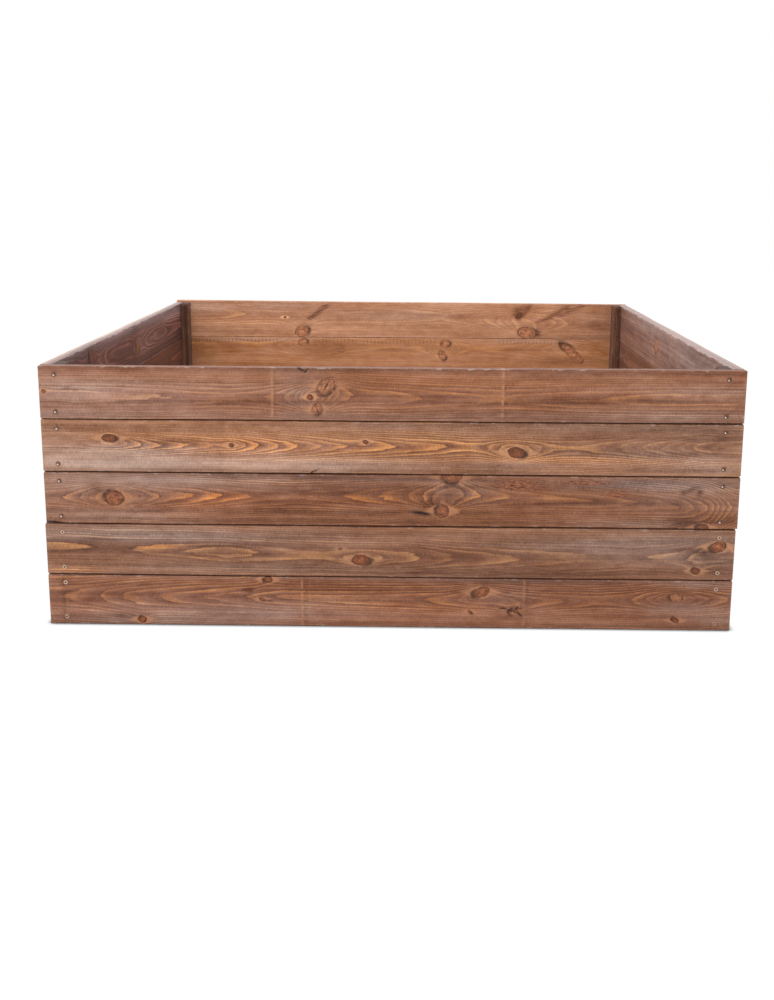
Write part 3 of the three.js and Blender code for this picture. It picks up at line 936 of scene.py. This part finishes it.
def pine(name, board, seed):
    """Stained softwood that shows growth rings, knots, fibres, stain blotches, cracks and worn arrises, with
    painted sheen in the grey blotches and on the upper faces, and painted shade in the cracks and seams and
    beside the knots.
    """
    material, tree, surface = new_material(name)
    tone = board["tone"]
    s, h, e = stored(tree, "timber")
    grey_and_sheen, warm, dark = stored(tree, "stain")
    plain, _, _ = stored(tree, "finish")
    _, _, light = stored(tree, "knot")

    def grain(along, across, number, detail=2, roughness=0.5):
        """Noise from about -0.25 to 0.25 with features of this size, a new one for each number."""
        place = [value / size + (seed + number) for value, size in ((s, along), (h, across), (e, across))]
        return noise(tree, vector(tree, *place), detail, roughness) - 0.5

    flat = plain.least(1.0)
    late, edge, thin, clear = growth_lines(tree, grain, board, seed, flat)
    gold = times(tone, 2.15, 2.42, 2.24)
    lit = mix(tree, warm.least(1.0), times(tone, 2.0, 2.44, 2.33), gold)
    colour = mix(tree, late * 0.56 + thin * 0.10 + flat * 0.12 + 0.08, times(tone, 0.76, 0.70, 0.73), lit)

    # Fibres, streaks and blotches, from fine to broad, and the marks of the planer.
    fibre = grain(70, 0.9, 5, 3, 0.6)
    streak = grain(330, 3.0, 6, 3, 0.55)
    broad = grain(240, 34, 8, 3, 0.55)
    cloud = grain(34, 15, 9, 3, 0.6)
    planer = grain(2.3, 8, 10, 2)
    speckle = grain(2.4, 1.6, 11, 1)
    pores = grain(6, 0.5, 12, 1).step(0.15, 0.27)
    chatter = (s * 1.65 + grain(60, 30, 23) * 6.0).math("SINE") * grain(80, 18, 24).step(0.0, 0.18)
    level = fibre * 0.45 + streak * 0.62 + grain(700, 9, 7, 2, 0.5) * 1.3 + broad * 1.1 + cloud * 0.7
    level = (level + planer * 0.75 + speckle * 0.6 + chatter * 0.035) * board["figure"]
    colour = brighten(tree, colour, (1.0 - edge * 0.34) * (level + 1.0).most(0.35))

    hue = tree.nodes.new("ShaderNodeHueSaturation")
    # Greyness pales and greys the colour: partly grey stain, partly painted sheen.
    greyness_and_sheen = (grey_and_sheen * 0.9 + broad * 0.8 + cloud * 0.6 - streak * 0.4 - late * 0.3).most(-0.25).least(1.0)
    plug(1.0 - greyness_and_sheen * 0.36 + warm * 0.05, hue.inputs["Saturation"])
    plug(greyness_and_sheen * 0.16 + warm * 0.08 + light * 0.17 + 1.0, hue.inputs["Value"])
    plug(colour, hue.inputs["Color"])
    coats = Coats(tree, hue.outputs[0])
    coats.tint((grain(26, 3.5, 24, 3, 0.6) * 3.2 * dark + dark).share(), (0.46, 0.37, 0.34))
    coats.tint(pores * 0.30, (0.42, 0.35, 0.32))
    knot_height = add_knots(tree, coats, grain, board, clear, gold)
    # The outer face keeps the stain's own tone, while the inner face is darker with painted shade.
    if board["outer"]:
        coats.tint(e.step(7, 11), tuple(b / a for a, b in zip(tone, board["outer"])))
    wear_rough, wear_height = add_wear_shade_and_sheen(tree, coats, grain, board, lit)
    plug(coats.colour, surface.inputs["Base Color"])

    rough = wear_rough - late * 0.06 + greyness_and_sheen * 0.08 + fibre * 0.2 + 0.46
    plug(rough.most(0.3).least(0.95), surface.inputs["Roughness"])
    surface.inputs["Specular IOR Level"].default_value = 0.25
    surface.inputs["Sheen Weight"].default_value = 0.03
    surface.inputs["Sheen Roughness"].default_value = 0.35
    height = late * 0.10 + fibre * 0.35 + planer * 0.30 + speckle * 0.1 - pores * 0.10
    add_bump(tree, surface, height + knot_height + wear_height, 0.6, 0.6)
    return material


# ---- screws

HEAD_SUNK = 0.3
HEAD_HEIGHT = 2.4
SHANK_RADIUS = 2.0
CORE_RADIUS = 0.72 * SHANK_RADIUS
RECESS_RADIUS = 1.7
RECESS_DEPTH = 1.4
RECESS_LOBES = 6
SCREW_LENGTH = 35.0
TIP_LENGTH = 5.0
THREAD_PITCH = 2.0
THREAD_PITCHES = 13
TURNS = 40
# The screws of the lowest courses are plain, and those above get painted shade over the head with a painted
# glint on each.
PLAIN_SCREW_COURSES = 2


def plated(name, seed):
    """Yellow zinc plating, dulled in patches, with painted shade in the recess, and on the upper screws
    painted shade over the head and a painted glint.
    """
    material, tree, surface = new_material(name)
    x, y, z = stored(tree, "part")
    sunk, number, painted_light_mask = stored(tree, "screw")

    dull = noise(tree, vector(tree, x / 2.2 + number * 3.1, y / 2.2 + seed, z / 2.2), 3, 0.6).step(0.40, 0.66)
    fine = noise(tree, vector(tree, x / 0.35 + number, y / 0.35, z / 0.35), 2) - 0.5
    scratch = noise(tree, vector(tree, x / 0.16, y / 2.6 + number, z / 0.16), 2).step(0.60, 0.72)
    colour = mix(tree, dull, (0.56, 0.38, 0.29), (0.36, 0.22, 0.155))
    colour = mix(tree, scratch * 0.5, colour, (0.80, 0.76, 0.68))
    coats = Coats(tree, brighten(tree, colour, fine * 0.30 + 1.0))
    # On the upper screws only: a painted glint to the lower right of the recess, and painted shade over the
    # rest of the head.
    rub_and_glint = ((x - 0.9) * (x - 0.9) + (y + 0.9) * (y + 0.9)).math("SQRT").step(1.9, 0.9)
    edge = (x * x + y * y).math("SQRT").step(2.0, 3.0)
    coats.cover(painted_light_mask * (1.0 - rub_and_glint) * 0.95, mix(tree, edge, (0.075, 0.035, 0.024), (0.22, 0.105, 0.065)))
    coats.cover(painted_light_mask * rub_and_glint, (0.92, 0.84, 0.82))
    # Painted shade in the recess and round the rim of the head, a brown darker than the plating.
    coats.cover(sunk.least(1.0) * (1.0 - painted_light_mask * rub_and_glint * 0.8) * 0.93, (0.215, 0.100, 0.058))
    plug(coats.colour, surface.inputs["Base Color"])
    surface.inputs["Metallic"].default_value = 0.92
    plug(dull * 0.16 + fine * 0.10 + 0.27 + sunk.least(1.0) * 0.35, surface.inputs["Roughness"])
    add_bump(tree, surface, fine + scratch * -0.4, 0.35, 0.1)
    return material


def screw_shape(turn):
    """Points (x, y, depth) and quads of a countersunk screw with a six-lobed recess, and how much painted
    shade each gets.
    """
    angles = np.arange(TURNS) * 2 * math.pi / TURNS
    lobes = RECESS_RADIUS * (0.84 + 0.16 * np.cos(RECESS_LOBES * (angles - turn)))
    rim = HEAD_RADIUS - RECESS_RADIUS
    # Loops of (radius, depth, painted shade), from the bottom of the recess over the head and down to the
    # point.
    loops = [(0.02, RECESS_DEPTH, 1.0), (lobes * 0.55, RECESS_DEPTH, 1.0), (lobes * 0.88, RECESS_DEPTH, 1.0),
             (lobes * 0.96, 0.35, 0.9), (lobes * 1.02, 0.05, 0.4),
             (lobes * 0.4 + 0.62 * RECESS_RADIUS + 0.12, 0.0, 0.0)]
    loops += [(RECESS_RADIUS + out * rim, -0.12 * math.sin(math.pi * out), 0.0) for out in (0.35, 0.7, 0.9)]
    loops += [(HEAD_RADIUS - 0.12, 0.03, 0.0), (HEAD_RADIUS, 0.18, 0.3), (HEAD_RADIUS - 0.2, 0.5, 0.7),
              (SHANK_RADIUS, HEAD_HEIGHT, 0.6)]
    for number in range(THREAD_PITCHES):
        depth = SCREW_LENGTH - TIP_LENGTH - (THREAD_PITCHES - number) * THREAD_PITCH
        loops += [(CORE_RADIUS, depth, 0.4), (SHANK_RADIUS, depth + 0.5 * THREAD_PITCH, 0.1)]
    loops += [(CORE_RADIUS, SCREW_LENGTH - TIP_LENGTH, 0.3), (0.02, SCREW_LENGTH, 0.3)]
    points = [np.stack([radius * np.cos(angles), radius * np.sin(angles), np.full(TURNS, depth)], axis=1)
              for radius, depth, _ in loops]
    sunk = np.repeat([darkness for *_, darkness in loops], TURNS)
    starts = np.arange(len(loops) - 1)[:, None] * TURNS
    first = starts + np.arange(TURNS)
    second = starts + (np.arange(TURNS) + 1) % TURNS
    quads = np.stack([first, first + TURNS, second + TURNS, second], axis=-1).reshape(-1, 4)
    return np.concatenate(points), quads, sunk


def add_screws(name, heads, inward, nodes, material, rng):
    """One piece with every screw of a column; heads are the places of the screw heads, in millimetres."""
    inward = np.array(inward, float)
    up = np.array((0.0, 0.0, 1.0))
    side = np.cross(up, inward)
    all_points, all_quads, local, about = [], [], [], []
    for number, head in enumerate(heads):
        points, quads, sunk = screw_shape(rng.uniform(0, 2))
        lean = rng.normal(0, 0.012, 2)
        depth = points[:, 2] + HEAD_SUNK + rng.uniform(-0.12, 0.15)
        x = points[:, 0] + depth * lean[0]
        y = points[:, 1] + depth * lean[1]
        depth = depth + points[:, :2] @ rng.normal(0, 0.02, 2)
        all_points.append(head + np.outer(x, side) + np.outer(y, up) + np.outer(depth, inward))
        all_quads.append(quads + number * len(points))
        local.append(points)
        # The upper screws get painted shade and a painted glint.
        painted_light_head = float(number >= 2 * PLAIN_SCREW_COURSES)
        about.append([(dark, float(number), painted_light_head) for dark in sunk])
    mesh = make_mesh(name, np.concatenate(all_points), np.concatenate(all_quads))
    store(mesh, "part", *np.concatenate(local).T)
    store(mesh, "screw", *np.concatenate(about).T)
    add_piece(name, mesh, material, nodes)


# ---- the planter

# How far the two screws of each board end are above the board's lower edge.
SCREW_HEIGHTS = {"front": (12, 76), "back": (12, 76), "left": (20, 68), "right": (20, 68)}
# Behind the front the boards have swollen by this share of their height, which narrows their seams.
SWELL = 0.018
# The posts' tone is darker than the boards', as painted shade for the corners of the box.
POST_TONE = (0.088, 0.034, 0.020)


def post_place(panel, end, turned):
    """Where along a panel the middle of the post at one of its ends stands."""
    low, high = corners(f"{end}_{panel}_post" if turned else f"{panel}_{end}_post")
    return ((low + high) / 2)[1 if turned else 0]


def add_panel(panel, panel_number, rng):
    """Adds a panel's boards, from the ground up, and then the screws of its two ends."""
    turned = panel in ("left", "right")
    ends = ("front", "back") if turned else ("left", "right")
    along, inward, boards = PANELS[panel]
    columns = {end: [] for end in ends}
    for course in range(1, COURSES + 1):
        node = f"{panel}_board_{course}"
        low, high = corners(node)
        board = dict(COMMON, **(boards.get(course) or made_up_board(rng)))
        if panel != "front":
            board["swell"] = SWELL
        face = np.array(inward) * -max(abs(np.dot(inward, corner)) for corner in (low, high))
        screws = []
        for end in ends:
            for height in SCREW_HEIGHTS[panel]:
                s = post_place(panel, end, turned) + rng.normal(0, 0.5)
                h = height - BOARD_HEIGHT / 2 + rng.normal(0, 0.6)
                rise = board["lift"] * (HALF_LENGTH - s) / (2 * HALF_LENGTH) * (h > 0)
                screws.append((s, h))
                columns[end].append(np.array(along) * s + face + (0, 0, (low[2] + high[2]) / 2 + h + rise))
        seams = [side for side in (-1, 1) if 1 <= course + side <= COURSES]
        material = pine(f"{node}_pine", board, 10 * panel_number + course)
        add_timber(node, along, (0, 0, 1), inward, board, material, rng, screws, seams)
    for end, heads in columns.items():
        nodes = [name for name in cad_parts
                 if name.startswith(f"{panel}_screw_") and f"_{end}_" in name]
        material = plated(f"{panel}_{end}_plating", panel_number)
        add_screws(f"{panel}_{end}_screws", heads, inward, nodes, material, rng)


def add_post(row, side, number, rng):
    """Adds a corner post, whose tone is darker than the boards', most of all on the left, as painted shade in
    the corners.
    """
    board = dict(COMMON, **made_up_board(rng))
    board["knots"] = [knot for knot in board["knots"] if abs(knot[1]) < 8 and abs(knot[0]) < 220]
    # The left posts are painted darker still, as painted shade.
    shade = 0.8 if side == "left" else 1.05
    board["tone"] = times(POST_TONE, shade, shade, shade)
    node = f"{row}_{side}_post"
    material = pine(f"{node}_pine", dict(board, ring=2.4, contrast=0.9, figure=1.5), 70 + number)
    inward = (0, 1, 0) if row == "front" else (0, -1, 0)
    add_timber(node, (0, 0, 1), (1, 0, 0), inward, board, material, rng)


rng = np.random.default_rng(SEED)
for number, panel in enumerate(PANELS):
    add_panel(panel, number, rng)
for number in range(4):
    add_post(("front", "back")[number // 2], ("left", "right")[number % 2], number, rng)


# ---- floor, light and camera

FLOOR_HALF = 9.0
# The camera: its lens in millimetres, its place in metres, and how it is turned in degrees.
LENS = 42.48
EYE = (0.0446, -2.5702, 0.7505)
SHIFT = (-0.0095, -0.059)
LOOK_LEFT = 0.965
LOOK_DOWN = 11.9
ROLL = 0.28
# The lamps are (name, place, target, size, power, colour).
LAMPS = [
    ("key", (-0.9, 0.3, 2.6), (0, 0.2, 0.3), 1.2, 26, (1.0, 0.98, 0.96)),
    ("side", (-1.7, -1.9, 1.0), (-0.6, -0.6, 0.25), 0.7, 6, (1.0, 0.97, 0.95)),
    ("inner", (-0.1, -0.35, 1.6), (0.0, 0.6, 0.36), 0.4, 9, (1.0, 0.95, 0.88)),
]


def add_floor():
    """A plain white floor that the camera sees as white, save for a narrow shadow under the boards."""
    mesh = bpy.data.meshes.new("floor")
    around = [(x * FLOOR_HALF, y * FLOOR_HALF, 0) for x, y in ((-1, -1), (1, -1), (1, 1), (-1, 1))]
    mesh.from_pydata(around, [], [(0, 1, 2, 3)])
    floor = bpy.data.objects.new("floor", mesh)
    floor.location.z = -0.2 * MM
    bpy.context.scene.collection.objects.link(floor)
    material, tree, surface = new_material("floor_paint")
    plug((0.85, 0.85, 0.85), surface.inputs["Base Color"])
    surface.inputs["Roughness"].default_value = 0.9
    surface.inputs["Specular IOR Level"].default_value = 0.1
    shade = tree.nodes.new("ShaderNodeAmbientOcclusion")
    shade.inputs["Distance"].default_value = 15 * MM
    shade.samples = 8
    seen = tree.nodes.new("ShaderNodeEmission")
    plug(Term(shade.outputs["AO"]).step(0.38, 0.97) * 0.97 + 0.06, seen.inputs["Strength"])
    ray = tree.nodes.new("ShaderNodeLightPath")
    either = tree.nodes.new("ShaderNodeMixShader")
    shaders = ray.outputs["Is Camera Ray"], surface.outputs[0], seen.outputs[0]
    for output, socket in zip(shaders, either.inputs):
        plug(output, socket)
    plug(either.outputs[0], tree.nodes["Material Output"].inputs["Surface"])
    mesh.materials.append(material)


def add_lamp(name, place, target, size, power, colour):
    light = bpy.data.lights.new(name, "AREA")
    light.shape = "DISK"
    light.size = size
    light.energy = power
    light.color = colour
    lamp = bpy.data.objects.new(name, light)
    lamp.location = place
    lamp.rotation_euler = (Vector(target) - Vector(place)).to_track_quat("-Z", "Y").to_euler()
    bpy.context.scene.collection.objects.link(lamp)


def add_camera():
    """Stands in front of the middle of the box, looking a little down and a little to the left."""
    camera = bpy.data.cameras.new("camera")
    camera.lens = LENS
    camera.shift_x, camera.shift_y = SHIFT
    turn = math.radians(-LOOK_LEFT)
    drop = math.radians(LOOK_DOWN)
    roll = math.radians(ROLL)
    forward = Vector((math.sin(turn) * math.cos(drop), math.cos(turn) * math.cos(drop), -math.sin(drop)))
    right = forward.cross(Vector((0, 0, 1))).normalized()
    over = right.cross(forward)
    rolled = Matrix.Rotation(roll, 3, -forward)
    axes = Matrix((rolled @ right, rolled @ over, -forward)).transposed()
    eye = bpy.data.objects.new("camera", camera)
    eye.matrix_world = Matrix.Translation(EYE) @ axes.to_4x4()
    bpy.context.scene.collection.objects.link(eye)
    bpy.context.scene.camera = eye


world = bpy.data.worlds.new("studio")
world.use_nodes = True
world.node_tree.nodes["Background"].inputs["Color"].default_value = (1, 1, 1, 1)
world.node_tree.nodes["Background"].inputs["Strength"].default_value = 1.0
bpy.context.scene.world = world
add_floor()
for lamp in LAMPS:
    add_lamp(*lamp)
add_camera()
bpy.context.scene.view_settings.view_transform = "Standard"
bpy.context.scene.view_settings.look = "None"
